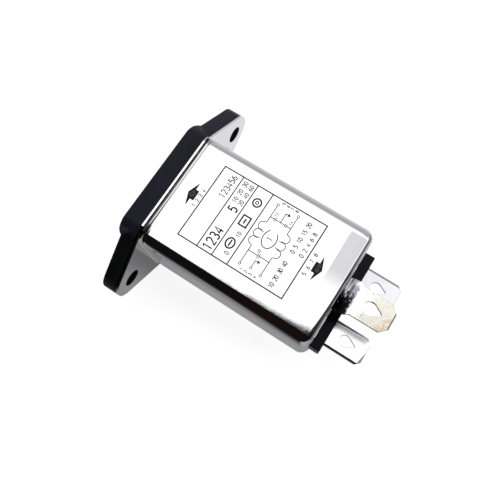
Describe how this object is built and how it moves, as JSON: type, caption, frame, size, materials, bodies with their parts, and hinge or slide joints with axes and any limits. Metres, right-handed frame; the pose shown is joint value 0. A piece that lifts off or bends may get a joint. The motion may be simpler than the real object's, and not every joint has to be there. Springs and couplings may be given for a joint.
{
  "type": "panel inlet mains filter",
  "caption": "Mains line filter in a drawn metal can: appliance inlet with an eared flange in front, flat push-on tabs behind.",
  "frame": {"origin": "centre of the metal flange's rear face, the face that rests on a panel, midway between the two screw holes", "axes": "+X from ear to ear, +Y from the inlet to the push-on tabs, +Z out of the printed face (the earth side)"},
  "size_m": [0.0492, 0.0562, 0.0234],
  "materials": {
    "nickel_plated_steel": "bright nickel plate",
    "black_moulding": "fine satin moulding",
    "contact_metal": "bright",
    "black_terminal_plastic": "satin",
    "tinned_tab": "tin plated",
    "brassy_tab": "thin plating, brass tint at the tip",
    "rivet_metal": "nickel plate",
    "ferrite": "matt coating",
    "fibre_plate": "matt",
    "enamelled_copper": "clear enamel",
    "capacitor_case": "smooth",
    "tinned_lead": "bright",
    "ceramic_coating": "smooth",
    "wire_insulation": "smooth",
    "solder": "bright",
    "liner_film": "thin film"
  },
  "bodies": {
    "root": {"case_shell": "nickel_plated_steel", "inlet_housing": "black_moulding", "line_pin": "contact_metal", "neutral_pin": "contact_metal", "earth_pin": "contact_metal", "terminal_base": "black_terminal_plastic", "line_tab": "tinned_tab", "neutral_tab": "tinned_tab", "ground_tab": "brassy_tab", "ground_rivet": "rivet_metal", "choke_core": "ferrite", "choke_divider": "fibre_plate", "line_winding": "enamelled_copper", "neutral_winding": "enamelled_copper", "line_side_x_capacitor": "capacitor_case", "line_side_x_leads": "tinned_lead", "load_side_x_capacitor": "capacitor_case", "load_side_x_leads": "tinned_lead", "line_y_capacitor": "ceramic_coating", "line_y_leads": "tinned_lead", "neutral_y_capacitor": "ceramic_coating", "neutral_y_leads": "tinned_lead", "earth_wire": "wire_insulation", "solder_joints": "solder", "insulating_liner": "liner_film"}
  },
  "joints": []
}
